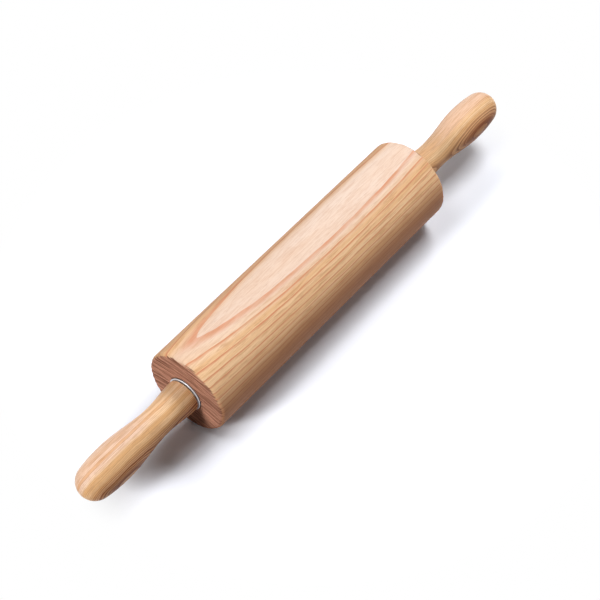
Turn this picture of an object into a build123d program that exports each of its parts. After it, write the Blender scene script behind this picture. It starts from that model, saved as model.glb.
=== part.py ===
from build123d import *
import math
import os

# Baker's rolling pin: a turned wooden barrel that spins on two ball bearings round a steel axle,
# with a turned wooden handle screwed on each end of the axle.
# The origin is the barrel's centre on its axis, +X runs along the axle to the right-hand handle,
# +Y points away from the baker and +Z is up. Sizes are in millimetres.

# Barrel, turned from one block
barrel_length = 250.0
barrel_diameter = 65.0
barrel_edge_round = 1.5
barrel_bore_clearance = 2.0      # air all round the axle in the barrel's through bore

# Handles, turned, with a closed round end
handle_length = 100.0
handle_root_diameter = 25.2
handle_waist_diameter = 21.5
handle_belly_diameter = 28.8
handle_end_radius = 13.0
handle_root_round = 0.6
handle_gap = 0.6                 # running gap between a handle and the bright lip of its cup
waist_share = 0.27               # place of the waist along the handle, from the root
belly_share = 0.68               # place of the fullest section along the handle, from the root
end_blend_angle = 80.0           # angle from the axis at which the flank runs into the round end

# Steel axle, stepped down twice towards each end
axle_diameter = 10.0
seat_diameter = 8.0
thread_diameter = 6.0
thread_engagement = 12.0         # length of thread that is screwed into a handle insert
seat_shortfall = 0.3             # the seat ends this far inside the inner race, so the washer clamps it
axle_end_chamfer = 0.8

# Deep-groove ball bearings, one at each end of the barrel
ball_diameter = 4.0
ball_count = 7
ball_clearance = 0.05
race_wall = 1.45                 # steel left under a race groove
groove_depth = 0.6
race_chamfer = 0.3
cage_web = 0.5                   # cage rim behind the balls
cage_side_clearance = 0.35       # from the cage to the lands of both races
pocket_clearance = 0.1
cage_reach_share = 0.55          # how far the cage fingers pass a ball's centre, of the ball's radius
shield_thickness = 0.3
shield_inset = 0.1
shield_gap = 0.6                 # from a shield to the cage rim
shield_seat = 0.7                # width of the step in the outer race that carries a shield
shield_running_gap = 0.15        # from a shield to the inner race
shield_lip = 0.25                # inner edge of a shield, turned in towards the balls

# Pressed steel cups that hold the bearings in the barrel
cup_wall = 1.0
cup_lip_width = 1.3              # the lip stands out this far past the cup's wall
cup_stop_width = 2.0             # inward rim at the bottom that the outer race rests on
cup_round_share = 0.45           # rounding of the lip and the bottom corner, of the wall
bearing_recess = 0.6             # the bearing lies this far behind the lip's outer face

# Washer and thin nut that clamp each inner race against the axle's shoulder
washer_diameter = 11.0
washer_thickness = 1.6
washer_hole_clearance = 0.2
nut_across_flats = 10.0
nut_height = 3.2
nut_chamfer_share = 0.95         # flat bearing face of the nut, as a share of its width across flats

# Brass inserts pressed into the handles
insert_length = 15.0
insert_diameter = 9.0
insert_barb_depth = 0.5
insert_barb_count = 4
insert_flange_diameter = 13.0
insert_flange_thickness = 1.0
nut_room = 1.2                   # room round the nut in the handle's recess
axle_end_room = 2.0              # room past the axle's end at the bottom of the handle's bore

# Angles and counts of the shapes themselves
full_turn = 360.0
half_turn = 180.0
hexagon_sides = 6
hexagon_half_angle = half_turn / hexagon_sides
nut_chamfer_angle = 30.0

# Radii that follow from the sizes above
barrel_radius = barrel_diameter / 2
axle_radius = axle_diameter / 2
seat_radius = seat_diameter / 2
thread_radius = thread_diameter / 2
ball_radius = ball_diameter / 2
inner_floor_radius = seat_radius + race_wall
pitch_radius = inner_floor_radius + ball_clearance + ball_radius
outer_floor_radius = pitch_radius + ball_radius + ball_clearance
bearing_radius = outer_floor_radius + race_wall
inner_land_radius = inner_floor_radius + groove_depth
outer_land_radius = outer_floor_radius - groove_depth
shield_seat_radius = outer_land_radius + shield_seat
cup_radius = bearing_radius + cup_wall
cup_lip_radius = cup_radius + cup_lip_width
nut_flat_radius = nut_across_flats / 2
nut_corner_radius = nut_flat_radius / math.cos(math.radians(hexagon_half_angle))
insert_radius = insert_diameter / 2
insert_flange_radius = insert_flange_diameter / 2
recess_radius = max(nut_corner_radius + nut_room, insert_flange_radius)

# Places along +X of the right-hand end
end_face_x = barrel_length / 2
lip_face_x = end_face_x + cup_wall
bearing_half_width = ball_radius + cage_web + shield_gap + shield_thickness + shield_inset
bearing_outer_x = lip_face_x - bearing_recess
bearing_centre_x = bearing_outer_x - bearing_half_width
bearing_inner_x = bearing_centre_x - bearing_half_width
cup_bottom_x = bearing_inner_x - cup_wall
washer_end_x = bearing_outer_x + washer_thickness
nut_end_x = washer_end_x + nut_height
insert_flange_end_x = nut_end_x + insert_flange_thickness
insert_end_x = nut_end_x + insert_length
axle_end_x = nut_end_x + thread_engagement
handle_root_x = lip_face_x + handle_gap
handle_tip_x = handle_root_x + handle_length


def round_bar(radius, start_x, end_x):
    """A solid cylinder along the pin's axis, from start_x to end_x."""
    low = (Align.CENTER, Align.CENTER, Align.MIN)
    return Plane.YZ.offset(start_x) * Cylinder(radius, end_x - start_x, align=low)


def turned(outline_points):
    """A ring or disc turned about the pin's axis from (x, radius) points in order."""
    return revolve(make_face(Polyline(*outline_points, close=True)), Axis.X, full_turn)


def groove(centre_x, centre_radius, radius):
    """The ring-shaped space that the balls run in, as a solid to cut away."""
    return revolve(Pos(centre_x, centre_radius) * Circle(radius), Axis.X, full_turn)


def barrel():
    """Turned barrel, bored through for the axle and counterbored at both ends for the cups."""
    body = round_bar(barrel_radius, -end_face_x, end_face_x)
    body = fillet(body.edges().filter_by(GeomType.CIRCLE), barrel_edge_round)
    body -= round_bar(axle_radius + barrel_bore_clearance, -end_face_x, end_face_x)
    body -= round_bar(cup_radius, cup_bottom_x, end_face_x)
    body -= round_bar(cup_radius, -end_face_x, -cup_bottom_x)
    return body


def axle_rod():
    """Steel axle: a plain middle, a bearing seat and a screwed end at each side."""
    seat_end_x = bearing_outer_x - seat_shortfall
    body = round_bar(axle_radius, -bearing_inner_x, bearing_inner_x)
    body += round_bar(seat_radius, -seat_end_x, seat_end_x)
    body += round_bar(thread_radius, -axle_end_x, axle_end_x)
    end_edges = body.edges().filter_by(GeomType.CIRCLE).sort_by(Axis.X)
    return chamfer([end_edges[0], end_edges[-1]], axle_end_chamfer)


def handle():
    """Turned handle: full at the root, drawn in at the waist, swelling to a round closed end."""
    root_radius = handle_root_diameter / 2
    waist_radius = handle_waist_diameter / 2
    belly_radius = handle_belly_diameter / 2
    end_centre_x = handle_tip_x - handle_end_radius
    blend = math.radians(end_blend_angle)
    blend_point = (
        end_centre_x + handle_end_radius * math.cos(blend),
        handle_end_radius * math.sin(blend),
    )
    root_corner = (handle_root_x + handle_root_round, root_radius)
    flank = Spline(
        root_corner,
        (handle_root_x + waist_share * handle_length, waist_radius),
        (handle_root_x + belly_share * handle_length, belly_radius),
        blend_point,
        tangents=[(1, 0), (1, 0), (1, 0), (math.sin(blend), -math.cos(blend))],
    )
    root_arc = CenterArc(
        (root_corner[0], root_radius - handle_root_round), handle_root_round, half_turn / 2, half_turn / 2
    )
    end_arc = CenterArc((end_centre_x, 0), handle_end_radius, 0, end_blend_angle)
    root_face = Line((handle_root_x, 0), (handle_root_x, root_radius - handle_root_round))
    centre_line = Line((handle_tip_x, 0), (handle_root_x, 0))
    outline = Curve() + [root_face, root_arc, flank, end_arc, centre_line]
    body = revolve(make_face(outline), Axis.X, full_turn)
    body -= round_bar(recess_radius, handle_root_x, insert_flange_end_x)
    body -= round_bar(insert_radius, insert_flange_end_x, insert_end_x)
    body -= round_bar(thread_radius, insert_end_x - insert_barb_depth, insert_end_x + axle_end_room)
    return body


def handle_insert():
    """Brass insert with a flange at its mouth and barbs that bite into the handle's bore."""
    barb_pitch = (insert_end_x - insert_flange_end_x) / insert_barb_count
    points = [
        (nut_end_x, thread_radius),
        (nut_end_x, insert_flange_radius),
        (insert_flange_end_x, insert_flange_radius),
    ]
    for barb in range(insert_barb_count):
        start_x = insert_flange_end_x + barb * barb_pitch
        points.append((start_x, insert_radius))
        points.append((start_x + barb_pitch, insert_radius - insert_barb_depth))
    points.append((insert_end_x, thread_radius))
    return turned(points)


def bearing_cup():
    """Pressed cup: bright rounded lip on the barrel's end face, wall, and a stop at the bottom."""
    stop_radius = bearing_radius - cup_stop_width
    outline = make_face(
        Polyline(
            (lip_face_x, bearing_radius),
            (lip_face_x, cup_lip_radius),
            (end_face_x, cup_lip_radius),
            (end_face_x, cup_radius),
            (cup_bottom_x, cup_radius),
            (cup_bottom_x, stop_radius),
            (bearing_inner_x, stop_radius),
            (bearing_inner_x, bearing_radius),
            close=True,
        )
    )
    body = revolve(outline, Axis.X, full_turn)
    rings = body.edges().filter_by(GeomType.CIRCLE).sort_by(lambda edge: edge.radius)
    lip_rings = rings[-2:]
    mouth_ring = rings.filter_by(lambda edge: edge.radius < cup_radius).sort_by(Axis.X)[-1]
    bottom_ring = rings.filter_by(lambda edge: edge.radius < cup_lip_radius - cup_lip_width / 2).sort_by(
        lambda edge: (edge.center().X, -edge.radius)
    )[0]
    return fillet([*lip_rings, mouth_ring, bottom_ring], cup_round_share * cup_wall)


def outer_race():
    """Outer ring of the bearing, with the ball groove inside and a shield step at each face."""
    step_x = bearing_half_width - shield_thickness - shield_inset
    body = turned(
        [
            (bearing_centre_x - bearing_half_width, shield_seat_radius),
            (bearing_centre_x - bearing_half_width, bearing_radius - race_chamfer),
            (bearing_centre_x - bearing_half_width + race_chamfer, bearing_radius),
            (bearing_centre_x + bearing_half_width - race_chamfer, bearing_radius),
            (bearing_centre_x + bearing_half_width, bearing_radius - race_chamfer),
            (bearing_centre_x + bearing_half_width, shield_seat_radius),
            (bearing_centre_x + step_x, shield_seat_radius),
            (bearing_centre_x + step_x, outer_land_radius),
            (bearing_centre_x - step_x, outer_land_radius),
            (bearing_centre_x - step_x, shield_seat_radius),
        ]
    )
    groove_radius = ball_radius + 2 * ball_clearance
    return body - groove(bearing_centre_x, outer_floor_radius - groove_radius, groove_radius)


def inner_race():
    """Inner ring of the bearing, seated on the axle, with the ball groove outside."""
    body = turned(
        [
            (bearing_inner_x, seat_radius + race_chamfer),
            (bearing_inner_x, inner_land_radius),
            (bearing_outer_x, inner_land_radius),
            (bearing_outer_x, seat_radius + race_chamfer),
            (bearing_outer_x - race_chamfer, seat_radius),
            (bearing_inner_x + race_chamfer, seat_radius),
        ]
    )
    groove_radius = ball_radius + 2 * ball_clearance
    return body - groove(bearing_centre_x, inner_floor_radius + groove_radius, groove_radius)


def ball_places():
    """The balls' centres, evenly spaced round the pitch circle."""
    circle = PolarLocations(pitch_radius, ball_count)
    return [Plane.YZ.offset(bearing_centre_x).location * place for place in circle]


def balls():
    """Steel balls of one bearing, each a solid of its own."""
    return Compound([place * Sphere(ball_radius) for place in ball_places()])


def ball_cage():
    """Snap-in cage: a rim behind the balls and a finger between each two of them."""
    inner_radius = inner_land_radius + cage_side_clearance
    outer_radius = outer_land_radius - cage_side_clearance
    body = turned(
        [
            (bearing_centre_x - ball_radius - cage_web, inner_radius),
            (bearing_centre_x - ball_radius - cage_web, outer_radius),
            (bearing_centre_x + cage_reach_share * ball_radius, outer_radius),
            (bearing_centre_x + cage_reach_share * ball_radius, inner_radius),
        ]
    )
    for place in ball_places():
        body -= place * Sphere(ball_radius + pocket_clearance)
    return body


def shield(facing):
    """Thin dust shield in a step of the outer race: facing is 1 outboard and -1 inboard."""
    outer_face = facing * (bearing_half_width - shield_inset)
    inner_face = facing * (bearing_half_width - shield_inset - shield_thickness)
    lip_face = inner_face - facing * shield_lip
    hole_radius = inner_land_radius + shield_running_gap
    return turned(
        [
            (bearing_centre_x + outer_face, hole_radius),
            (bearing_centre_x + outer_face, shield_seat_radius),
            (bearing_centre_x + inner_face, shield_seat_radius),
            (bearing_centre_x + inner_face, hole_radius + shield_thickness),
            (bearing_centre_x + lip_face, hole_radius + shield_thickness),
            (bearing_centre_x + lip_face, hole_radius),
        ]
    )


def clamp_washer():
    """Steel washer between the inner race and the nut."""
    body = round_bar(washer_diameter / 2, bearing_outer_x, washer_end_x)
    return body - round_bar(thread_radius + washer_hole_clearance, bearing_outer_x, washer_end_x)


def lock_nut():
    """Thin hexagon nut with chamfered corners, screwed up to the washer."""
    hexagon = RegularPolygon(nut_flat_radius, hexagon_sides, major_radius=False)
    body = extrude(Plane.YZ.offset(washer_end_x) * hexagon, nut_height)
    face_radius = nut_chamfer_share * nut_flat_radius
    slope = (nut_corner_radius - face_radius) * math.tan(math.radians(nut_chamfer_angle))
    corners = turned(
        [
            (washer_end_x, thread_radius),
            (washer_end_x, face_radius),
            (washer_end_x + slope, nut_corner_radius),
            (nut_end_x - slope, nut_corner_radius),
            (nut_end_x, face_radius),
            (nut_end_x, thread_radius),
        ]
    )
    return body & corners


def save(name, shape):
    """Write one piece to its own STEP file."""
    export_step(shape, "parts/" + name + ".step")


os.makedirs("parts", exist_ok=True)
save("barrel", barrel())
save("axle_rod", axle_rod())

# The left-hand end is the right-hand end turned half round about the vertical.
end_pieces = {
    "handle": handle(),
    "handle_insert": handle_insert(),
    "bearing_cup": bearing_cup(),
    "outer_race": outer_race(),
    "inner_race": inner_race(),
    "bearing_balls": balls(),
    "ball_cage": ball_cage(),
    "outboard_shield": shield(1),
    "inboard_shield": shield(-1),
    "clamp_washer": clamp_washer(),
    "lock_nut": lock_nut(),
}
for name, piece in end_pieces.items():
    save(name + "_right", piece)
    save(name + "_left", Rot(0, 0, half_turn) * piece)
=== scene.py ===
import math

import bmesh
import bpy
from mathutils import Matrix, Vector


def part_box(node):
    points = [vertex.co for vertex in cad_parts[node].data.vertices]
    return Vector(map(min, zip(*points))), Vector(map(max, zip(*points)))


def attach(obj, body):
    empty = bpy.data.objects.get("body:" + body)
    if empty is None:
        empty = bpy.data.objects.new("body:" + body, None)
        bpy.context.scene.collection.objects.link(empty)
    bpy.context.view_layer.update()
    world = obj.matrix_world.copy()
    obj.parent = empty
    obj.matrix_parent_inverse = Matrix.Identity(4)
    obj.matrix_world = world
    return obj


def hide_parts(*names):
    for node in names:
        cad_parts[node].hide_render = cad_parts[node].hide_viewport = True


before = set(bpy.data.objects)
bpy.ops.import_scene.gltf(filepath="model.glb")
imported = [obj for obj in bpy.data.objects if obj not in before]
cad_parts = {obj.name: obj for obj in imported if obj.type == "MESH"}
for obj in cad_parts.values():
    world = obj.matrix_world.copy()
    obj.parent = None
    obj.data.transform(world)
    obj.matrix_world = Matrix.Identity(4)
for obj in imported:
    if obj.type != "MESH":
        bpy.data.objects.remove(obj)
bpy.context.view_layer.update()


# Axle
# A drawn steel rod, stepped down to a bearing seat and a screwed end at each side. It runs
# through the barrel and carries both handles. Fine die lines follow its length.
def new_group(name, inputs, outputs):
    """An empty shader node group with named float or vector sockets, and its two end nodes."""
    group = bpy.data.node_groups.new(name, "ShaderNodeTree")
    for label, kind, value in inputs:
        socket = group.interface.new_socket(label, in_out="INPUT", socket_type=kind)
        if value is not None:
            socket.default_value = value
    for label, kind in outputs:
        group.interface.new_socket(label, in_out="OUTPUT", socket_type=kind)
    return group, group.nodes.new("NodeGroupInput"), group.nodes.new("NodeGroupOutput")


def math_node(tree, operation, first, second=None, third=None):
    """A Math node whose inputs are sockets or numbers; returns its result."""
    node = tree.nodes.new("ShaderNodeMath")
    node.operation = operation
    for socket, value in zip(node.inputs, (first, second, third)):
        if value is None:
            continue
        if isinstance(value, (int, float)):
            socket.default_value = value
        else:
            tree.links.new(value, socket)
    return node.outputs[0]


def scaled(tree, vector, scale):
    """The vector with each component multiplied by its own scale."""
    node = tree.nodes.new("ShaderNodeVectorMath")
    node.operation = "MULTIPLY"
    tree.links.new(vector, node.inputs[0])
    node.inputs[1].default_value = scale
    return node.outputs[0]


def noise(tree, vector, detail=2.0, roughness=0.5):
    """Noise of scale 1 on a vector that is already scaled; returns a value about 0.5."""
    node = tree.nodes.new("ShaderNodeTexNoise")
    node.inputs["Scale"].default_value = 1.0
    node.inputs["Detail"].default_value = detail
    node.inputs["Roughness"].default_value = roughness
    tree.links.new(vector, node.inputs["Vector"])
    return node.outputs["Fac"]


def ramp(tree, value, low, high, out_low, out_high):
    """Maps low..high smoothly to out_low..out_high, and clamps outside."""
    node = tree.nodes.new("ShaderNodeMapRange")
    node.interpolation_type = "SMOOTHSTEP"
    tree.links.new(value, node.inputs["Value"])
    node.inputs["From Min"].default_value = low
    node.inputs["From Max"].default_value = high
    node.inputs["To Min"].default_value = out_low
    node.inputs["To Max"].default_value = out_high
    return node.outputs["Result"]


def mixed(tree, mask, first, second):
    """Mixes two colours, each a socket or an (r, g, b) value, by a mask."""
    node = tree.nodes.new("ShaderNodeMix")
    node.data_type = "RGBA"
    tree.links.new(mask, node.inputs["Factor"])
    for socket, value in ((node.inputs[6], first), (node.inputs[7], second)):
        if isinstance(value, tuple):
            socket.default_value = (*value, 1.0)
        else:
            tree.links.new(value, socket)
    return node.outputs[2]


def new_material(name):
    """A node material with a Principled shader; returns the material, its tree and the shader."""
    material = bpy.data.materials.new(name)
    material.use_nodes = True
    return material, material.node_tree, material.node_tree.nodes["Principled BSDF"]


def object_coordinates(tree):
    """The point on the object in metres, in the frame."""
    return tree.nodes.new("ShaderNodeTexCoord").outputs["Object"]


def bumped(tree, height, distance):
    """A Bump node's normal for a height between 0 and 1 that stands distance metres high."""
    node = tree.nodes.new("ShaderNodeBump")
    node.inputs["Strength"].default_value = 1.0
    node.inputs["Distance"].default_value = distance
    tree.links.new(height, node.inputs["Height"])
    return node.outputs["Normal"]


def build_tool_lines():
    """Group: fine lines left by a die or a cutting tool, with cloudy tarnish between them."""
    cloud_scale = (0.06, 0.06, 0.06)
    least_rough, line_rough, cloud_rough = 0.16, 0.16, 0.1
    group, given, result = new_group(
        "tool_lines",
        [("Vector", "NodeSocketVector", None)],
        [("Lines", "NodeSocketFloat"), ("Cloud", "NodeSocketFloat"), ("Roughness", "NodeSocketFloat")],
    )
    lines = noise(group, given.outputs["Vector"], detail=6.0, roughness=0.65)
    cloud = noise(group, scaled(group, given.outputs["Vector"], cloud_scale), detail=3.0)
    group.links.new(lines, result.inputs["Lines"])
    group.links.new(cloud, result.inputs["Cloud"])
    rough = math_node(group, "MULTIPLY_ADD", lines, line_rough, least_rough)
    rough = math_node(group, "MULTIPLY_ADD", cloud, cloud_rough, rough)
    group.links.new(rough, result.inputs["Roughness"])
    return group


tool_lines = build_tool_lines()


def metal(name, clean, tarnished, line_scale, line_height, turned_marks, dullness=0.0):
    """A bare metal: its two colours, and tool lines along the axle or, with turned_marks, round
    it. Dullness is what its roughness has over that of clean drawn steel."""
    material, tree, shader = new_material(name)
    point = object_coordinates(tree)
    if turned_marks:
        split = tree.nodes.new("ShaderNodeSeparateXYZ")
        tree.links.new(point, split.inputs[0])
        across = math_node(tree, "MULTIPLY", split.outputs[1], split.outputs[1])
        up = math_node(tree, "MULTIPLY", split.outputs[2], split.outputs[2])
        radius = math_node(tree, "SQRT", math_node(tree, "ADD", across, up))
        join = tree.nodes.new("ShaderNodeCombineXYZ")
        tree.links.new(split.outputs[0], join.inputs[0])
        tree.links.new(radius, join.inputs[1])
        point = join.outputs[0]
    marks = tree.nodes.new("ShaderNodeGroup")
    marks.node_tree = tool_lines
    tree.links.new(scaled(tree, point, line_scale), marks.inputs["Vector"])
    tree.links.new(mixed(tree, marks.outputs["Cloud"], clean, tarnished), shader.inputs["Base Color"])
    rough = math_node(tree, "ADD", marks.outputs["Roughness"], dullness)
    tree.links.new(rough, shader.inputs["Roughness"])
    tree.links.new(bumped(tree, marks.outputs["Lines"], line_height), shader.inputs["Normal"])
    shader.inputs["Metallic"].default_value = 1.0
    return material


def finish_node(node, material):
    """Gives a CAD node its material."""
    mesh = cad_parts[node].data
    mesh.materials.clear()
    mesh.materials.append(material)


axle_steel = metal(
    "drawn_steel",
    clean=(0.60, 0.60, 0.61),
    tarnished=(0.46, 0.45, 0.45),
    line_scale=(60.0, 5000.0, 5000.0),
    line_height=0.00001,
    turned_marks=False,
)
finish_node("axle_rod", axle_steel)


# Ball bearings
# One at each end of the barrel: ground steel races and balls, a moulded nylon cage that keeps
# the balls apart, and a thin pressed shield on each side that keeps flour out.
bearing_steel = metal(
    "ground_steel",
    clean=(0.68, 0.68, 0.70),
    tarnished=(0.56, 0.56, 0.58),
    line_scale=(9000.0, 9000.0, 9000.0),
    line_height=0.000004,
    turned_marks=True,
)
shield_steel = metal(
    "pressed_steel",
    clean=(0.58, 0.58, 0.60),
    tarnished=(0.44, 0.44, 0.45),
    line_scale=(4000.0, 4000.0, 4000.0),
    line_height=0.00001,
    turned_marks=True,
)


def nylon():
    """Natural nylon: milky, faintly mottled and a little rough from the mould."""
    mould_grain = 0.00002
    mottle_scale = (900.0, 900.0, 900.0)
    material, tree, shader = new_material("natural_nylon")
    mottle = noise(tree, scaled(tree, object_coordinates(tree), mottle_scale), detail=4.0)
    milk = mixed(tree, mottle, (0.78, 0.75, 0.66), (0.86, 0.84, 0.77))
    tree.links.new(milk, shader.inputs["Base Color"])
    tree.links.new(ramp(tree, mottle, 0.3, 0.7, 0.38, 0.5), shader.inputs["Roughness"])
    tree.links.new(bumped(tree, mottle, mould_grain), shader.inputs["Normal"])
    shader.inputs["Subsurface Weight"].default_value = 0.15
    shader.inputs["Subsurface Radius"].default_value = (0.002, 0.0018, 0.0014)
    return material


cage_nylon = nylon()
sides = ("left", "right")
for side in sides:
    for piece in ("outer_race", "inner_race", "bearing_balls"):
        finish_node(piece + "_" + side, bearing_steel)
    for piece in ("outboard_shield", "inboard_shield"):
        finish_node(piece + "_" + side, shield_steel)
    finish_node("ball_cage_" + side, cage_nylon)


# Bearing cups
# Pressed steel, bright nickel plated, pushed into the barrel's ends. Only the rounded lip shows,
# as a bright ring round each handle's root.
bright_nickel = metal(
    "bright_nickel",
    clean=(0.66, 0.66, 0.68),
    tarnished=(0.54, 0.54, 0.57),
    line_scale=(5000.0, 5000.0, 5000.0),
    line_height=0.00001,
    turned_marks=True,
    dullness=0.25,
)
for side in sides:
    finish_node("bearing_cup_" + side, bright_nickel)


# Washers and nuts
# Zinc-plated steel. They clamp each inner race against the axle's shoulder, and a handle is
# screwed up against each nut.
zinc = metal(
    "zinc_plate",
    clean=(0.66, 0.68, 0.70),
    tarnished=(0.52, 0.54, 0.58),
    line_scale=(1800.0, 1800.0, 1800.0),
    line_height=0.00001,
    turned_marks=False,
)
for side in sides:
    finish_node("clamp_washer_" + side, zinc)
    finish_node("lock_nut_" + side, zinc)


# Barrel
# Turned from one flat-sawn block of pale hardwood, its edges rounded, then sanded and oiled. The
# growth rings lie nearly level, so the top shows one long open arch and the sides show close
# straight lines. The sawn ends are darker, and their hard layers stand out as small ridges.
# Painted light is in its colour: the pale heart under the arch carries a painted highlight as
# well as paler wood, the far side has a band of painted shade over browner wood, and the
# underside is darkened with painted shade.
def build_growth_rings():
    """Group: growth rings as layers across the vector's Z. Curve bows them across the grain,
    Crest gives them a soft ridge in the middle, and Valley bends them along X. Gives the late
    wood line of each ring, a value that is steady within one ring, and the depth in metres."""
    crest_round = 0.0000002
    first_line_width = 1.9
    wave_scale = (38.0, 90.0, 90.0)
    shift_scale = 0.6
    group, given, result = new_group(
        "growth_rings",
        [
            ("Vector", "NodeSocketVector", None),
            ("First Ring", "NodeSocketFloat", 0.0279),
            ("Ring Width", "NodeSocketFloat", 0.0034),
            ("Line Share", "NodeSocketFloat", 0.3),
            ("Curve", "NodeSocketFloat", 4.4),
            ("Crest", "NodeSocketFloat", 0.14),
            ("Valley", "NodeSocketFloat", 7.6),
            ("Valley Centre", "NodeSocketFloat", 0.035),
            ("Waviness", "NodeSocketFloat", 0.0004),
            ("Unevenness", "NodeSocketFloat", 0.0),
        ],
        [
            ("Late Wood", "NodeSocketFloat"),
            ("Ring Shade", "NodeSocketFloat"),
            ("Depth", "NodeSocketFloat"),
        ],
    )
    put = given.outputs
    split = group.nodes.new("ShaderNodeSeparateXYZ")
    group.links.new(put["Vector"], split.inputs[0])
    across = math_node(group, "MULTIPLY", split.outputs[1], split.outputs[1])
    along = math_node(group, "SUBTRACT", split.outputs[0], put["Valley Centre"])
    along = math_node(group, "MULTIPLY", along, along)
    depth = math_node(group, "MULTIPLY_ADD", across, put["Curve"], split.outputs[2])
    sag = math_node(group, "MULTIPLY", along, put["Valley"])
    depth = math_node(group, "SUBTRACT", depth, math_node(group, "MULTIPLY", sag, split.outputs[2]))
    crest = math_node(group, "SQRT", math_node(group, "ADD", across, crest_round))
    depth = math_node(group, "SUBTRACT", depth, math_node(group, "MULTIPLY", crest, put["Crest"]))
    wave = noise(group, scaled(group, put["Vector"], wave_scale), detail=2.0)
    wave = math_node(group, "SUBTRACT", wave, 0.5)
    depth = math_node(group, "MULTIPLY_ADD", wave, put["Waviness"], depth)
    below_first = math_node(group, "SUBTRACT", put["First Ring"], depth)
    count = math_node(group, "DIVIDE", below_first, put["Ring Width"])
    join = group.nodes.new("ShaderNodeCombineXYZ")
    group.links.new(math_node(group, "MULTIPLY", count, shift_scale), join.inputs[0])
    shift = math_node(group, "SUBTRACT", noise(group, join.outputs[0], detail=1.0), 0.5)
    count = math_node(group, "MULTIPLY_ADD", shift, put["Unevenness"], count)
    part = math_node(group, "FRACT", count)
    lot = group.nodes.new("ShaderNodeTexWhiteNoise")
    lot.noise_dimensions = "1D"
    group.links.new(math_node(group, "FLOOR", count), lot.inputs["W"])
    start = ramp(group, part, 0.0, 0.03, 0.0, 1.0)
    widened = ramp(group, count, 0.9, 1.0, first_line_width, 1.0)
    share = math_node(group, "MULTIPLY", put["Line Share"], widened)
    fade = math_node(group, "DIVIDE", part, share)
    fade = ramp(group, fade, 0.1, 1.0, 1.0, 0.0)
    begun = ramp(group, count, -0.2, -0.1, 0.0, 1.0)
    late = math_node(group, "MULTIPLY", math_node(group, "MULTIPLY", start, fade), begun)
    group.links.new(late, result.inputs["Late Wood"])
    group.links.new(lot.outputs["Value"], result.inputs["Ring Shade"])
    group.links.new(depth, result.inputs["Depth"])
    return group


def build_fibres():
    """Group: what lies between the rings. Grain lines keep to the layers, threads and short
    dark pores keep to the length, and Height is how far they stand proud."""
    band_scale = (5.0, 30.0, 330.0)
    line_scale = (45.0, 60.0, 1150.0)
    thread_scale = (70.0, 1100.0, 1100.0)
    pore_scale = (170.0, 3000.0, 3000.0)
    mottle_scale = (45.0, 190.0, 190.0)
    pore_depth = 0.8
    group, given, result = new_group(
        "wood_fibres",
        [("Vector", "NodeSocketVector", None), ("Depth", "NodeSocketFloat", 0.0)],
        [
            ("Bands", "NodeSocketFloat"),
            ("Grain Lines", "NodeSocketFloat"),
            ("Threads", "NodeSocketFloat"),
            ("Pores", "NodeSocketFloat"),
            ("Mottle", "NodeSocketFloat"),
            ("Height", "NodeSocketFloat"),
        ],
    )
    point = given.outputs["Vector"]
    split = group.nodes.new("ShaderNodeSeparateXYZ")
    group.links.new(point, split.inputs[0])
    layered = group.nodes.new("ShaderNodeCombineXYZ")
    group.links.new(split.outputs[0], layered.inputs[0])
    group.links.new(split.outputs[1], layered.inputs[1])
    group.links.new(given.outputs["Depth"], layered.inputs[2])
    layer = layered.outputs[0]
    bands = noise(group, scaled(group, layer, band_scale), detail=2.0)
    lines = noise(group, scaled(group, layer, line_scale), detail=3.0, roughness=0.65)
    threads = noise(group, scaled(group, point, thread_scale), detail=4.0, roughness=0.7)
    pores = noise(group, scaled(group, point, pore_scale), detail=1.0)
    mottle = noise(group, scaled(group, point, mottle_scale), detail=3.0)
    pores = ramp(group, pores, 0.66, 0.76, 0.0, 1.0)
    height = math_node(group, "SUBTRACT", threads, math_node(group, "MULTIPLY", pores, pore_depth))
    group.links.new(ramp(group, bands, 0.36, 0.64, 0.0, 1.0), result.inputs["Bands"])
    group.links.new(ramp(group, lines, 0.51, 0.64, 0.0, 1.0), result.inputs["Grain Lines"])
    group.links.new(ramp(group, threads, 0.44, 0.64, 0.0, 1.0), result.inputs["Threads"])
    group.links.new(pores, result.inputs["Pores"])
    group.links.new(ramp(group, mottle, 0.35, 0.65, 0.0, 1.0), result.inputs["Mottle"])
    group.links.new(height, result.inputs["Height"])
    return group


growth_rings = build_growth_rings()
wood_fibres = build_fibres()


def turned_point(tree, point, angle):
    """The point turned about the axle, so that Z becomes the direction angle degrees from the
    top towards the near side (-Y)."""
    node = tree.nodes.new("ShaderNodeVectorRotate")
    node.rotation_type = "X_AXIS"
    node.inputs["Angle"].default_value = -math.radians(angle)
    tree.links.new(point, node.inputs["Vector"])
    return node.outputs["Vector"]


def ring_node(tree, point, values):
    """Places the growth rings in a material with their values."""
    node = tree.nodes.new("ShaderNodeGroup")
    node.node_tree = growth_rings
    tree.links.new(point, node.inputs["Vector"])
    for label, value in values.items():
        node.inputs[label].default_value = value
    return node


def fibre_node(tree, point, depth):
    """Places the fibres in a material, following the layers of the rings."""
    node = tree.nodes.new("ShaderNodeGroup")
    node.node_tree = wood_fibres
    tree.links.new(point, node.inputs["Vector"])
    tree.links.new(depth, node.inputs["Depth"])
    return node


def darkened(tree, colour, mask, strength, shade):
    """Lays a darker shade over a colour where the mask is high."""
    return mixed(tree, math_node(tree, "MULTIPLY", mask, strength), colour, shade)


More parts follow.
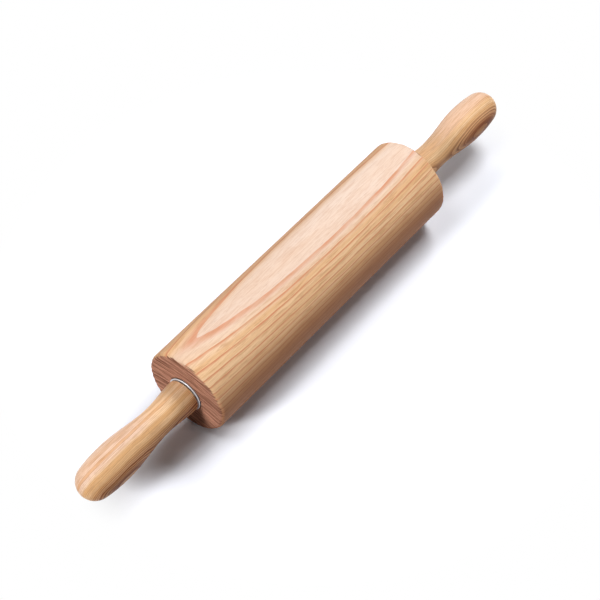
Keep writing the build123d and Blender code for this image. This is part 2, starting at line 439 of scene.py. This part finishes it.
end_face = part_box("barrel")[1].x
barrel_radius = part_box("barrel")[1].y
cup_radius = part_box("bearing_cup_right")[1].y
cup_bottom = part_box("bearing_cup_right")[0].x
axle_clearance = 0.002
bore_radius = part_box("axle_rod")[1].y + axle_clearance
edge_round = 0.0030
mouth_bevel = 0.0005
lip_reach = 0.0013
lip_depth = 0.0016
wear_depth = 0.00045
barrel_sides = 480
arch_angle = -14.3
saw_angle = 5.0
layer_curve = 3.9
heart_from, heart_to = 0.0210, 0.0285
heart_slope_from, heart_slope_to, heart_drop = -0.002, 0.012, 0.0028
# Band on the far side that is browner wood and also darkened with painted shade.
far_shade_from, far_shade_to = 0.007, 0.018
# Depth band over which the underside is darkened with painted shade.
underside_shade_from, underside_shade_to = -0.006, 0.0148
barrel_waviness = 0.0007
golden_wood = ((0.80, 0.48, 0.24), (0.88, 0.59, 0.345))
# Pale heart colour: paler wood with a painted highlight mixed in.
pale_wood_and_highlight = ((0.81, 0.605, 0.475), (0.84, 0.665, 0.555))
# Colour of that far band: browner wood with painted shade.
edge_brown_and_shade = (0.58, 0.33, 0.16)
# Colour of the painted shade on the underside.
underside_shade_brown = (0.47, 0.195, 0.095)
# The second colour of each pair is used where painted shade and browner wood lie, so the lines darken
# there too.
grain_line_colours = ((0.58, 0.28, 0.13), (0.40, 0.17, 0.083))
late_wood_colours = ((0.68, 0.27, 0.14), (0.42, 0.17, 0.083))
thread_colour = (0.58, 0.31, 0.17)
pore_colour = (0.36, 0.18, 0.10)
sawn_colours = ((0.56, 0.275, 0.18), (0.16, 0.065, 0.041))
speck_colour = (0.24, 0.10, 0.07)


def saw_ridges(tree, point):
    """How deep the sawn end is worn between its hard layers, from 0 on a crest to 1 in a groove."""
    wide_scale = (0.0, 26.0, 470.0)
    narrow_scale = (0.0, 70.0, 1250.0)
    turned = turned_point(tree, point, saw_angle)
    split = tree.nodes.new("ShaderNodeSeparateXYZ")
    tree.links.new(turned, split.inputs[0])
    across = math_node(tree, "MULTIPLY", split.outputs[1], split.outputs[1])
    layer = math_node(tree, "MULTIPLY_ADD", across, layer_curve, split.outputs[2])
    join = tree.nodes.new("ShaderNodeCombineXYZ")
    tree.links.new(split.outputs[1], join.inputs[1])
    tree.links.new(layer, join.inputs[2])
    wide = noise(tree, scaled(tree, join.outputs[0], wide_scale), detail=1.0)
    narrow = noise(tree, scaled(tree, join.outputs[0], narrow_scale), detail=2.0)
    wide = ramp(tree, wide, 0.38, 0.62, 0.0, 0.5)
    narrow = ramp(tree, narrow, 0.36, 0.64, 0.0, 0.5)
    return math_node(tree, "ADD", wide, narrow)


def barrel_wood():
    """Material of the barrel: long grain on the side, end grain on the sawn faces. The block is
    pale round its heart, where a painted highlight is mixed in, golden beside it, browner and
    darkened with painted shade at its far edge, and darkened with painted shade underneath. The
    side's rings are read on its full radius, so that their lines run straight over the rounded edges."""
    grain_height = 0.00004
    groove_reach = 0.0011
    speck_scale = (300.0, 1900.0, 1900.0)
    speck_height = 2.5
    sawn_from, sawn_to = end_face - 0.0008, end_face - 0.0001
    material, tree, shader = new_material("barrel_wood")
    point = object_coordinates(tree)
    split = tree.nodes.new("ShaderNodeSeparateXYZ")
    tree.links.new(point, split.inputs[0])
    across = math_node(tree, "MULTIPLY", split.outputs[1], split.outputs[1])
    spread = math_node(tree, "MULTIPLY_ADD", split.outputs[2], split.outputs[2], across)
    outward = math_node(tree, "DIVIDE", barrel_radius, math_node(tree, "SQRT", spread))
    skin = tree.nodes.new("ShaderNodeCombineXYZ")
    tree.links.new(split.outputs[0], skin.inputs[0])
    for axis in (1, 2):
        on_skin = math_node(tree, "MULTIPLY", split.outputs[axis], outward)
        tree.links.new(on_skin, skin.inputs[axis])
    flat = turned_point(tree, skin.outputs[0], arch_angle)
    split_flat = tree.nodes.new("ShaderNodeSeparateXYZ")
    tree.links.new(flat, split_flat.inputs[0])
    beside = split_flat.outputs[1]
    rings = ring_node(tree, flat, {"Waviness": barrel_waviness})
    depth = rings.outputs["Depth"]
    fibres = fibre_node(tree, flat, depth)
    bands = fibres.outputs["Bands"]

    # Pale heart under the arch: paler wood, and a painted highlight.
    drop = ramp(tree, beside, heart_slope_from, heart_slope_to, 0.0, heart_drop)
    heart_and_highlight = math_node(tree, "SUBTRACT", depth, drop)
    heart_and_highlight = ramp(tree, heart_and_highlight, heart_from, heart_to, 0.0, 1.0)
    gold = mixed(tree, bands, *golden_wood)
    pale_and_highlight = mixed(tree, bands, *pale_wood_and_highlight)
    side = mixed(tree, heart_and_highlight, gold, pale_and_highlight)
    # Far band: browner wood, darkened further with painted shade.
    far_edge_shade_and_brown = ramp(tree, beside, far_shade_from, far_shade_to, 0.0, 1.0)
    side = darkened(tree, side, far_edge_shade_and_brown, 0.95, edge_brown_and_shade)
    # Painted shade: the underside turns darker brown towards the bottom.
    low = ramp(tree, depth, underside_shade_from, underside_shade_to, 1.0, 0.0)
    side = darkened(tree, side, low, 0.9, underside_shade_brown)
    # Mask of painted shade and browner wood, from the far band and the underside.
    shade_and_brown = math_node(tree, "MAXIMUM", far_edge_shade_and_brown, low)

    line_weight = ramp(tree, heart_and_highlight, 0.0, 1.0, 0.55, 0.14)
    line_colour = mixed(tree, shade_and_brown, *grain_line_colours)
    lines = math_node(tree, "MULTIPLY", fibres.outputs["Grain Lines"], line_weight)
    side = mixed(tree, lines, side, line_colour)
    late_weight = math_node(tree, "MULTIPLY_ADD", fibres.outputs["Mottle"], 0.35, 0.6)
    late_weight = math_node(tree, "MULTIPLY", late_weight, ramp(tree, heart_and_highlight, 0.0, 1.0, 1.4, 0.95))
    late_colour = mixed(tree, shade_and_brown, *late_wood_colours)
    side = darkened(tree, side, rings.outputs["Late Wood"], late_weight, late_colour)
    side = darkened(tree, side, fibres.outputs["Threads"], 0.32, thread_colour)
    side = darkened(tree, side, fibres.outputs["Pores"], 0.30, pore_colour)

    groove = saw_ridges(tree, point)
    face = mixed(tree, groove, *sawn_colours)
    speck = noise(tree, scaled(tree, point, speck_scale), detail=3.0)
    face = darkened(tree, face, ramp(tree, speck, 0.5, 0.7, 0.0, 1.0), 0.35, speck_colour)
    reach = math_node(tree, "ABSOLUTE", split.outputs[0])
    reach = math_node(tree, "MULTIPLY_ADD", groove, groove_reach, reach)
    on_end = ramp(tree, reach, sawn_from, sawn_to, 0.0, 1.0)
    tree.links.new(mixed(tree, on_end, side, face), shader.inputs["Base Color"])

    rough = ramp(tree, fibres.outputs["Threads"], 0.0, 1.0, 0.42, 0.52)
    tree.links.new(math_node(tree, "MULTIPLY_ADD", on_end, 0.3, rough), shader.inputs["Roughness"])
    relief = math_node(tree, "MULTIPLY_ADD", rings.outputs["Late Wood"], 0.5, fibres.outputs["Height"])
    blend = tree.nodes.new("ShaderNodeMix")
    tree.links.new(on_end, blend.inputs[0])
    tree.links.new(relief, blend.inputs[2])
    tree.links.new(math_node(tree, "MULTIPLY", speck, speck_height), blend.inputs[3])
    tree.links.new(bumped(tree, blend.outputs[0], grain_height), shader.inputs["Normal"])
    shader.inputs["Specular IOR Level"].default_value = 0.06
    return material


def node_input(group, label, kind, value):
    """Adds a named input to a geometry tree; returns its identifier, to set it on the modifier."""
    socket = group.interface.new_socket(label, in_out="INPUT", socket_type=kind)
    if value is not None:
        socket.default_value = value
    return socket.identifier


def build_lathe():
    """Geometry tree: turns the outline, a row of points at z = radius, round the X axis."""
    weld_gap = 0.000001
    group = bpy.data.node_groups.new("lathe", "GeometryNodeTree")
    group.interface.new_socket("Geometry", in_out="OUTPUT", socket_type="NodeSocketGeometry")
    group.interface.new_socket("Outline", in_out="INPUT", socket_type="NodeSocketGeometry")
    keys = {
        "Sides": node_input(group, "Sides", "NodeSocketInt", 96),
        "Material": node_input(group, "Material", "NodeSocketMaterial", None),
    }
    add, link = group.nodes.new, group.links.new
    given, result = add("NodeGroupInput"), add("NodeGroupOutput")
    size = add("GeometryNodeAttributeDomainSize")
    link(given.outputs["Outline"], size.inputs["Geometry"])
    grid = add("GeometryNodeMeshGrid")
    columns = math_node(group, "ADD", given.outputs["Sides"], 1.0)
    link(columns, grid.inputs["Vertices X"])
    link(size.outputs["Point Count"], grid.inputs["Vertices Y"])
    index = add("GeometryNodeInputIndex").outputs[0]
    row = math_node(group, "MODULO", index, size.outputs["Point Count"])
    column = math_node(group, "DIVIDE", index, size.outputs["Point Count"])
    column = math_node(group, "FLOOR", column)
    share = math_node(group, "DIVIDE", column, given.outputs["Sides"])
    angle = math_node(group, "MULTIPLY", share, 2.0 * math.pi)
    sample = add("GeometryNodeSampleIndex")
    sample.data_type = "FLOAT_VECTOR"
    link(given.outputs["Outline"], sample.inputs["Geometry"])
    link(add("GeometryNodeInputPosition").outputs[0], sample.inputs["Value"])
    link(row, sample.inputs["Index"])
    turn = add("ShaderNodeVectorRotate")
    turn.rotation_type = "X_AXIS"
    link(sample.outputs["Value"], turn.inputs["Vector"])
    link(angle, turn.inputs["Angle"])
    place = add("GeometryNodeSetPosition")
    link(grid.outputs["Mesh"], place.inputs["Geometry"])
    link(turn.outputs["Vector"], place.inputs["Position"])
    weld = add("GeometryNodeMergeByDistance")
    weld.inputs["Distance"].default_value = weld_gap
    link(place.outputs["Geometry"], weld.inputs["Geometry"])
    smooth = add("GeometryNodeSetShadeSmooth")
    link(weld.outputs["Geometry"], smooth.inputs["Geometry"])
    whole = add("GeometryNodeRealizeInstances")
    link(smooth.outputs["Geometry"], whole.inputs["Geometry"])
    paint = add("GeometryNodeSetMaterial")
    link(whole.outputs["Geometry"], paint.inputs["Geometry"])
    link(given.outputs["Material"], paint.inputs["Material"])
    link(paint.outputs["Geometry"], result.inputs["Geometry"])
    return group, keys


lathe, lathe_keys = build_lathe()


def run_tree(name, mesh, group, values):
    """Runs a geometry tree on a mesh and returns a plain object with the result."""
    source = bpy.data.objects.new(name + "_source", mesh)
    bpy.context.scene.collection.objects.link(source)
    modifier = source.modifiers.new(group.name, "NODES")
    modifier.node_group = group
    for key, value in values.items():
        modifier[key] = value
    graph = bpy.context.evaluated_depsgraph_get()
    made = bpy.data.meshes.new_from_object(source.evaluated_get(graph), depsgraph=graph)
    bpy.data.objects.remove(source)
    piece = bpy.data.objects.new(name, made)
    bpy.context.scene.collection.objects.link(piece)
    shell = bmesh.new()
    shell.from_mesh(made)
    bmesh.ops.recalc_face_normals(shell, faces=shell.faces)
    shell.to_mesh(made)
    shell.free()
    return piece


def turned_piece(name, outline, sides, material):
    """A piece turned on the lathe from (x, radius) points in order."""
    mesh = bpy.data.meshes.new(name + "_outline")
    points = [(x, 0.0, radius) for x, radius in outline]
    mesh.from_pydata(points, [(i, i + 1) for i in range(len(points) - 1)], [])
    return run_tree(name, mesh, lathe, {lathe_keys["Sides"]: sides, lathe_keys["Material"]: material})


def steps(start, stop, count):
    """Evenly spaced points from start to stop, both included."""
    return [
        (start[0] + (stop[0] - start[0]) * i / count, start[1] + (stop[1] - start[1]) * i / count)
        for i in range(count + 1)
    ]


def arc(centre, radius, first, last, count):
    """Points of an arc in the outline's plane, by angles in degrees from the +X direction."""
    angles = [math.radians(first + (last - first) * i / count) for i in range(count + 1)]
    return [(centre[0] + radius * math.cos(a), centre[1] + radius * math.sin(a)) for a in angles]


def barrel_outline():
    """Half of the barrel's section, from the bore at the right over the outside and back."""
    web_rows, cup_rows, face_rows, rim_rows, side_rows = 2, 3, 40, 12, 48
    corner = end_face - edge_round
    rim = barrel_radius - edge_round
    seat = cup_radius - lip_reach
    mouth = cup_radius + mouth_bevel
    right = steps((cup_bottom, bore_radius), (cup_bottom, seat), web_rows)
    right += steps((cup_bottom, seat), (end_face - lip_depth, seat), cup_rows)[1:]
    right += [(end_face - lip_depth, cup_radius), (end_face - mouth_bevel, cup_radius)]
    right += steps((end_face, mouth), (end_face, rim), face_rows)
    right += arc((corner, rim), edge_round, 0.0, 90.0, rim_rows)[1:]
    side = steps((corner, barrel_radius), (-corner, barrel_radius), side_rows)[1:]
    left = [(-x, radius) for x, radius in reversed(right[:-1])]
    return right + side + left + [right[0]]


def build_worn_ends():
    """Geometry tree: sinks the soft layers of the sawn ends, also where the rim is rounded, but
    not round the cup's mouth."""
    mouth_margin = 0.0015
    group = bpy.data.node_groups.new("worn_ends", "GeometryNodeTree")
    group.interface.new_socket("Geometry", in_out="OUTPUT", socket_type="NodeSocketGeometry")
    group.interface.new_socket("Barrel", in_out="INPUT", socket_type="NodeSocketGeometry")
    keys = {
        "Wear Depth": node_input(group, "Wear Depth", "NodeSocketFloat", 0.0004),
        "End": node_input(group, "End", "NodeSocketFloat", 0.1),
        "Rim": node_input(group, "Rim", "NodeSocketFloat", 0.003),
        "Mouth": node_input(group, "Mouth", "NodeSocketFloat", 0.0143),
        "Material": node_input(group, "Material", "NodeSocketMaterial", None),
    }
    add, link = group.nodes.new, group.links.new
    given, result = add("NodeGroupInput"), add("NodeGroupOutput")
    put = given.outputs
    point = add("GeometryNodeInputPosition").outputs[0]
    split = add("ShaderNodeSeparateXYZ")
    link(point, split.inputs[0])
    flat = add("ShaderNodeCombineXYZ")
    link(split.outputs[1], flat.inputs[1])
    link(split.outputs[2], flat.inputs[2])
    radius = add("ShaderNodeVectorMath")
    radius.operation = "LENGTH"
    link(flat.outputs[0], radius.inputs[0])
    outward = add("ShaderNodeVectorMath")
    outward.operation = "NORMALIZE"
    link(flat.outputs[0], outward.inputs[0])
    reach = math_node(group, "ABSOLUTE", split.outputs[0])
    start = math_node(group, "SUBTRACT", put["End"], put["Rim"])
    share = math_node(group, "DIVIDE", math_node(group, "SUBTRACT", reach, start), put["Rim"])
    share = math_node(group, "MINIMUM", math_node(group, "MAXIMUM", share, 0.0), 1.0)
    clear = math_node(group, "SUBTRACT", radius.outputs["Value"], put["Mouth"])
    clear = ramp(group, clear, 0.0, mouth_margin, 0.0, 1.0)
    weight = math_node(group, "MULTIPLY", ramp(group, share, 0.0, 0.4, 0.0, 1.0), clear)
    sink = math_node(group, "MULTIPLY", saw_ridges(group, point), weight)
    sink = math_node(group, "MULTIPLY", sink, put["Wear Depth"])
    endward = math_node(group, "MULTIPLY", share, math_node(group, "SIGN", split.outputs[0]))
    sideward = math_node(group, "SUBTRACT", 1.0, math_node(group, "MULTIPLY", share, share))
    sideward = math_node(group, "SQRT", sideward)
    push = add("ShaderNodeVectorMath")
    push.operation = "SCALE"
    link(outward.outputs["Vector"], push.inputs[0])
    link(sideward, push.inputs["Scale"])
    along = add("ShaderNodeCombineXYZ")
    link(endward, along.inputs[0])
    normal = add("ShaderNodeVectorMath")
    normal.operation = "ADD"
    link(push.outputs["Vector"], normal.inputs[0])
    link(along.outputs[0], normal.inputs[1])
    offset = add("ShaderNodeVectorMath")
    offset.operation = "SCALE"
    link(normal.outputs["Vector"], offset.inputs[0])
    link(math_node(group, "MULTIPLY", sink, -1.0), offset.inputs["Scale"])
    place = add("GeometryNodeSetPosition")
    link(put["Barrel"], place.inputs["Geometry"])
    link(offset.outputs["Vector"], place.inputs["Offset"])
    whole = add("GeometryNodeRealizeInstances")
    link(place.outputs["Geometry"], whole.inputs["Geometry"])
    paint = add("GeometryNodeSetMaterial")
    link(whole.outputs["Geometry"], paint.inputs["Geometry"])
    link(put["Material"], paint.inputs["Material"])
    link(paint.outputs["Geometry"], result.inputs["Geometry"])
    return group, keys


worn_ends, worn_keys = build_worn_ends()
wood_of_barrel = barrel_wood()
smooth_barrel = turned_piece("barrel_smooth", barrel_outline(), barrel_sides, wood_of_barrel)
barrel = run_tree(
    "barrel_turned",
    smooth_barrel.data,
    worn_ends,
    {
        worn_keys["Wear Depth"]: wear_depth,
        worn_keys["End"]: end_face,
        worn_keys["Rim"]: edge_round,
        worn_keys["Mouth"]: cup_radius + mouth_bevel,
        worn_keys["Material"]: wood_of_barrel,
    },
)
bpy.data.objects.remove(smooth_barrel)
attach(barrel, "roller")
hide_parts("barrel")


# Handle inserts
# Turned brass bushes, barbed outside and threaded inside. Each is pressed into a handle's bore,
# and the axle's end screws into it.
brass = metal(
    "turned_brass",
    clean=(0.72, 0.52, 0.22),
    tarnished=(0.55, 0.37, 0.14),
    line_scale=(3000.0, 3000.0, 3000.0),
    line_height=0.00001,
    turned_marks=True,
)
for side in sides:
    finish_node("handle_insert_" + side, brass)


# Handles
# Turned from straight-grained blanks and lacquered: full at the root, drawn in at the waist,
# swelling to a round closed end. The left one is the right one turned half round. Their colour
# holds painted light: a painted highlight in the pink on top of the belly, and painted shade on
# the brown lower side.
root_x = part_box("handle_right")[0].x
tip_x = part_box("handle_right")[1].x
insert_low, insert_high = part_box("handle_insert_right")
handle_length = tip_x - root_x
root_radius = 0.0126
waist_radius = 0.01075
belly_radius = 0.0144
end_radius = 0.013
root_round = 0.0006
waist_share = 0.27
belly_share = 0.68
blend_angle = 80.0
recess_radius = 0.00697
recess_end = insert_low.x + 0.001
insert_bore = 0.0045
handle_sides = 160
handle_ring_width = 0.0010
# Along the belly, from pink_from to pink_to, the pink top holds a painted highlight over pinker wood.
pink_from, pink_to = 0.150, 0.175
pink_blend_in, pink_blend_out = 0.0035, 0.0005
# Width over which the lower side turns to brown wood darkened with painted shade.
dark_blend = 0.006
streak_core, streak_reach = 0.0003, 0.0016
handle_gold = ((0.79, 0.46, 0.215), (0.90, 0.605, 0.345))
# Pink colours: pinker wood with a painted highlight mixed in.
handle_pink_and_highlight = ((0.80, 0.51, 0.33), (0.88, 0.62, 0.46))
streak_colour = (0.76, 0.39, 0.17)
# Colour of the lower side: brown wood darkened with painted shade.
dark_side_shade_colour = (0.45, 0.135, 0.048)
handle_late_colour = (0.22, 0.062, 0.020)
handle_line_colour = (0.48, 0.21, 0.08)
handle_thread_colour = (0.50, 0.25, 0.12)
handle_pore_colour = (0.30, 0.15, 0.08)


def flank(start, stop, start_slope, stop_slope, count):
    """Points of a smooth curve between two points that leaves and arrives along given slopes."""
    reach = math.dist(start, stop)
    points = []
    for i in range(count + 1):
        t = i / count
        weights = (2 * t**3 - 3 * t**2 + 1, t**3 - 2 * t**2 + t, 3 * t**2 - 2 * t**3, t**3 - t**2)
        x = weights[0] * start[0] + weights[1] * reach * start_slope[0]
        x += weights[2] * stop[0] + weights[3] * reach * stop_slope[0]
        radius = weights[0] * start[1] + weights[1] * reach * start_slope[1]
        radius += weights[2] * stop[1] + weights[3] * reach * stop_slope[1]
        points.append((x, radius))
    return points


def handle_outline():
    """Section of the right-hand handle, from its tip over the outside and back up its bore."""
    tip_rows, end_rows, belly_rows, waist_rows, root_rows = 24, 20, 32, 24, 6
    blend = math.radians(blend_angle)
    centre = tip_x - end_radius
    level = (1.0, 0.0)
    joint = (centre + end_radius * math.cos(blend), end_radius * math.sin(blend))
    root = (root_x + root_round, root_radius)
    waist = (root_x + waist_share * handle_length, waist_radius)
    belly = (root_x + belly_share * handle_length, belly_radius)
    falling = (math.sin(blend), -math.cos(blend))
    points = arc((centre, 0.0), end_radius, 0.0, blend_angle, tip_rows)
    points += list(reversed(flank(belly, joint, level, falling, end_rows)))[1:]
    points += list(reversed(flank(waist, belly, level, level, belly_rows)))[1:]
    points += list(reversed(flank(root, waist, level, level, waist_rows)))[1:]
    points += arc((root[0], root_radius - root_round), root_round, 90.0, 180.0, root_rows)[1:]
    points += [(root_x, recess_radius), (recess_end, recess_radius), (recess_end, insert_bore)]
    points += [(insert_high.x, insert_bore), (insert_high.x, 0.0)]
    return points


def handle_wood(side, ring_angle, first_ring, waviness, streak_depth, pale_edge, dark_edge):
    """Material of one handle: its growth rings face the way the blank was cut. By depth in the
    rings the wood is pink up to pale_edge, with a painted highlight mixed in along the belly,
    then golden, and brown and closely lined from dark_edge on, where painted shade also darkens
    that side, with one warm streak at streak_depth."""
    grain_height = 0.00003
    material, tree, shader = new_material("handle_wood_" + side)
    point = turned_point(tree, object_coordinates(tree), ring_angle)
    rings = ring_node(
        tree,
        point,
        {
            "First Ring": first_ring,
            "Ring Width": handle_ring_width,
            "Line Share": 0.75,
            "Curve": 1.5,
            "Crest": 0.0,
            "Valley": 0.0,
            "Waviness": waviness,
            "Unevenness": 1.1,
        },
    )
    depth = rings.outputs["Depth"]
    fibres = fibre_node(tree, point, depth)
    split = tree.nodes.new("ShaderNodeSeparateXYZ")
    tree.links.new(point, split.inputs[0])
    reach = math_node(tree, "ABSOLUTE", split.outputs[0])
    # Painted highlight: the pink top is strongest on the belly.
    belly = ramp(tree, reach, pink_from, pink_to, 0.2, 1.0)
    gold = mixed(tree, fibres.outputs["Bands"], *handle_gold)
    pink_and_highlight = mixed(tree, fibres.outputs["Bands"], *handle_pink_and_highlight)
    pale_from, pale_to = pale_edge - pink_blend_in, pale_edge + pink_blend_out
    pale_side_and_highlight = ramp(tree, depth, pale_from, pale_to, 1.0, 0.0)
    colour = mixed(tree, math_node(tree, "MULTIPLY", pale_side_and_highlight, belly), gold, pink_and_highlight)
    off_streak = math_node(tree, "ABSOLUTE", math_node(tree, "SUBTRACT", depth, streak_depth))
    streak = ramp(tree, off_streak, streak_core, streak_reach, 1.0, 0.0)
    colour = darkened(tree, colour, streak, 0.6, streak_colour)
    # Lower side: denser, browner wood, darkened further with painted shade.
    dark_side_and_shade = ramp(tree, depth, dark_edge, dark_edge + dark_blend, 0.0, 1.0)
    late = rings.outputs["Late Wood"]
    dark = math_node(tree, "MULTIPLY", dark_side_and_shade, math_node(tree, "MULTIPLY_ADD", late, 0.5, 0.5))
    colour = darkened(tree, colour, dark, 0.95, dark_side_shade_colour)
    shade = math_node(tree, "MULTIPLY_ADD", rings.outputs["Ring Shade"], 0.6, 0.6)
    strength = math_node(tree, "MULTIPLY_ADD", dark_side_and_shade, 0.73, 0.25)
    strength = math_node(tree, "MULTIPLY", strength, shade)
    colour = darkened(tree, colour, late, strength, handle_late_colour)
    colour = darkened(tree, colour, fibres.outputs["Grain Lines"], 0.42, handle_line_colour)
    colour = darkened(tree, colour, fibres.outputs["Threads"], 0.22, handle_thread_colour)
    colour = darkened(tree, colour, fibres.outputs["Pores"], 0.30, handle_pore_colour)
    tree.links.new(colour, shader.inputs["Base Color"])
    rough = ramp(tree, fibres.outputs["Threads"], 0.0, 1.0, 0.36, 0.45)
    tree.links.new(rough, shader.inputs["Roughness"])
    relief = math_node(tree, "MULTIPLY_ADD", late, 0.5, fibres.outputs["Height"])
    tree.links.new(bumped(tree, relief, grain_height), shader.inputs["Normal"])
    shader.inputs["Specular IOR Level"].default_value = 0.12
    return material


blanks = {
    "left": {
        "ring_angle": 108.0,
        "first_ring": 0.0142,
        "waviness": 0.0020,
        "streak_depth": -0.0042,
        "pale_edge": 0.0015,
        "dark_edge": 0.0060,
    },
    "right": {
        "ring_angle": 84.0,
        "first_ring": 0.0141,
        "waviness": 0.0006,
        "streak_depth": -0.0100,
        "pale_edge": 0.0060,
        "dark_edge": 0.0085,
    },
}
for side, direction in zip(sides, (-1, 1)):
    section = [(direction * x, radius) for x, radius in handle_outline()]
    wood = handle_wood(side, **blanks[side])
    handle = turned_piece("handle_turned_" + side, section, handle_sides, wood)
    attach(handle, "axle_and_handles")
    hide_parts("handle_" + side)


# Floor
# A plain white sheet that the barrel rests on, wide enough to fill the view. It carries the
# pin's soft shadow, and a little way off it runs out into plain white.
floor_reach = 4.0
run_out_middle = (0.01, 0.0, -barrel_radius)
run_out_start = 0.185
run_out_end = 0.235
sheet_white = ((0.985, 1.015, 1.09), (0.995, 1.025, 1.10))
grey_card = (0.32, 0.30, 0.29, 1.0)
paper_scale = (300.0, 300.0, 300.0)


def seen_directly(tree):
    """1 for a camera, glossy or transmission ray, 0 for a ray that only carries light."""
    path = tree.nodes.new("ShaderNodeLightPath")
    seen = math_node(tree, "MAXIMUM", path.outputs["Is Camera Ray"], path.outputs["Is Glossy Ray"])
    return math_node(tree, "MAXIMUM", seen, path.outputs["Is Transmission Ray"])


def floor_sheet():
    """White sheet: seen directly it is pure white outside the shadow, but it throws back only
    the light of a grey card, so that it doesn't flood the pin from below."""
    material, tree, shader = new_material("white_sheet")
    tree.nodes.remove(shader)
    point = object_coordinates(tree)
    paper = noise(tree, scaled(tree, point, paper_scale), detail=2.0)
    distance = tree.nodes.new("ShaderNodeVectorMath")
    distance.operation = "DISTANCE"
    distance.inputs[1].default_value = run_out_middle
    tree.links.new(point, distance.inputs[0])
    seen = tree.nodes.new("ShaderNodeBsdfDiffuse")
    tree.links.new(mixed(tree, paper, *sheet_white), seen.inputs["Color"])
    white_light = tree.nodes.new("ShaderNodeEmission")
    white_light.inputs["Color"].default_value = (1.0, 1.0, 1.0, 1.0)
    run_out = tree.nodes.new("ShaderNodeMixShader")
    far = ramp(tree, distance.outputs["Value"], run_out_start, run_out_end, 0.0, 1.0)
    tree.links.new(far, run_out.inputs[0])
    tree.links.new(seen.outputs[0], run_out.inputs[1])
    tree.links.new(white_light.outputs[0], run_out.inputs[2])
    plain = tree.nodes.new("ShaderNodeBsdfDiffuse")
    plain.inputs["Color"].default_value = grey_card
    pick = tree.nodes.new("ShaderNodeMixShader")
    tree.links.new(seen_directly(tree), pick.inputs[0])
    tree.links.new(plain.outputs[0], pick.inputs[1])
    tree.links.new(run_out.outputs[0], pick.inputs[2])
    tree.links.new(pick.outputs[0], tree.nodes["Material Output"].inputs["Surface"])
    return material


floor_mesh = bpy.data.meshes.new("floor")
floor_mesh.from_pydata(
    [
        (x * floor_reach, y * floor_reach, -barrel_radius)
        for x, y in ((-1, -1), (1, -1), (1, 1), (-1, 1))
    ],
    [],
    [(0, 1, 2, 3)],
)
floor_mesh.materials.append(floor_sheet())
floor = bpy.data.objects.new("floor", floor_mesh)
bpy.context.scene.collection.objects.link(floor)


# Light
# Five soft boxes: two large ones from the right and the far right, one low at the left that
# reaches the sawn end, and weak ones in front and above. A dim room lies all round, and what
# looks past the floor sees plain white.
def soft_box(name, centre, size, watts):
    """A rectangular lamp at centre that faces the middle of the pin."""
    lamp = bpy.data.lights.new(name, "AREA")
    lamp.shape = "RECTANGLE"
    lamp.size, lamp.size_y = size
    lamp.energy = watts
    item = bpy.data.objects.new(name, lamp)
    item.location = centre
    item.rotation_euler = (-Vector(centre)).to_track_quat("-Z", "Y").to_euler()
    bpy.context.scene.collection.objects.link(item)


soft_box("left_box", centre=(-1.47, 0.22, 0.72), size=(0.3, 0.45), watts=18.5)
soft_box("right_box", centre=(0.9, 0.0, 1.22), size=(0.7, 0.5), watts=16.0)
soft_box("back_box", centre=(1.6, 1.25, 1.2), size=(1.2, 0.4), watts=12.0)
soft_box("front_box", centre=(0.3, -1.5, 0.5), size=(1.0, 0.5), watts=4.2)
soft_box("top_box", centre=(-0.4, 0.2, 1.25), size=(0.45, 0.4), watts=3.0)

room_tint = (0.98, 0.96, 1.0, 1.0)
room_strength = 0.03
world = bpy.data.worlds.new("room")
bpy.context.scene.world = world
world.use_nodes = True
room = world.node_tree.nodes["Background"]
room.inputs["Color"].default_value = room_tint
room.inputs["Strength"].default_value = room_strength
backdrop = world.node_tree.nodes.new("ShaderNodeBackground")
backdrop.inputs["Color"].default_value = (1.0, 1.0, 1.0, 1.0)
pick_backdrop = world.node_tree.nodes.new("ShaderNodeMixShader")
world_links = world.node_tree.links
world_links.new(seen_directly(world.node_tree), pick_backdrop.inputs[0])
world_links.new(room.outputs[0], pick_backdrop.inputs[1])
world_links.new(backdrop.outputs[0], pick_backdrop.inputs[2])
world_links.new(pick_backdrop.outputs[0], world.node_tree.nodes["World Output"].inputs["Surface"])


# Camera
# It stands over the near, left-hand end of the pin and looks down along it. The lens is long and
# stands more than a metre away, so that the far end looks only a little smaller.
view_from = Vector((-0.6120, -0.4922, 0.9804))
view_along = Vector((0.4794, 0.3876, -0.7874))
lens_mm = 107.25
sensor_mm = 36.0
nearest_seen = 0.01
camera_data = bpy.data.cameras.new("view")
camera_data.lens = lens_mm
camera_data.sensor_width = sensor_mm
camera_data.clip_start = nearest_seen
camera = bpy.data.objects.new("view", camera_data)
camera.location = view_from
camera.rotation_euler = view_along.to_track_quat("-Z", "Y").to_euler()
bpy.context.scene.collection.objects.link(camera)
bpy.context.scene.camera = camera
bpy.context.scene.view_settings.view_transform = "Standard"
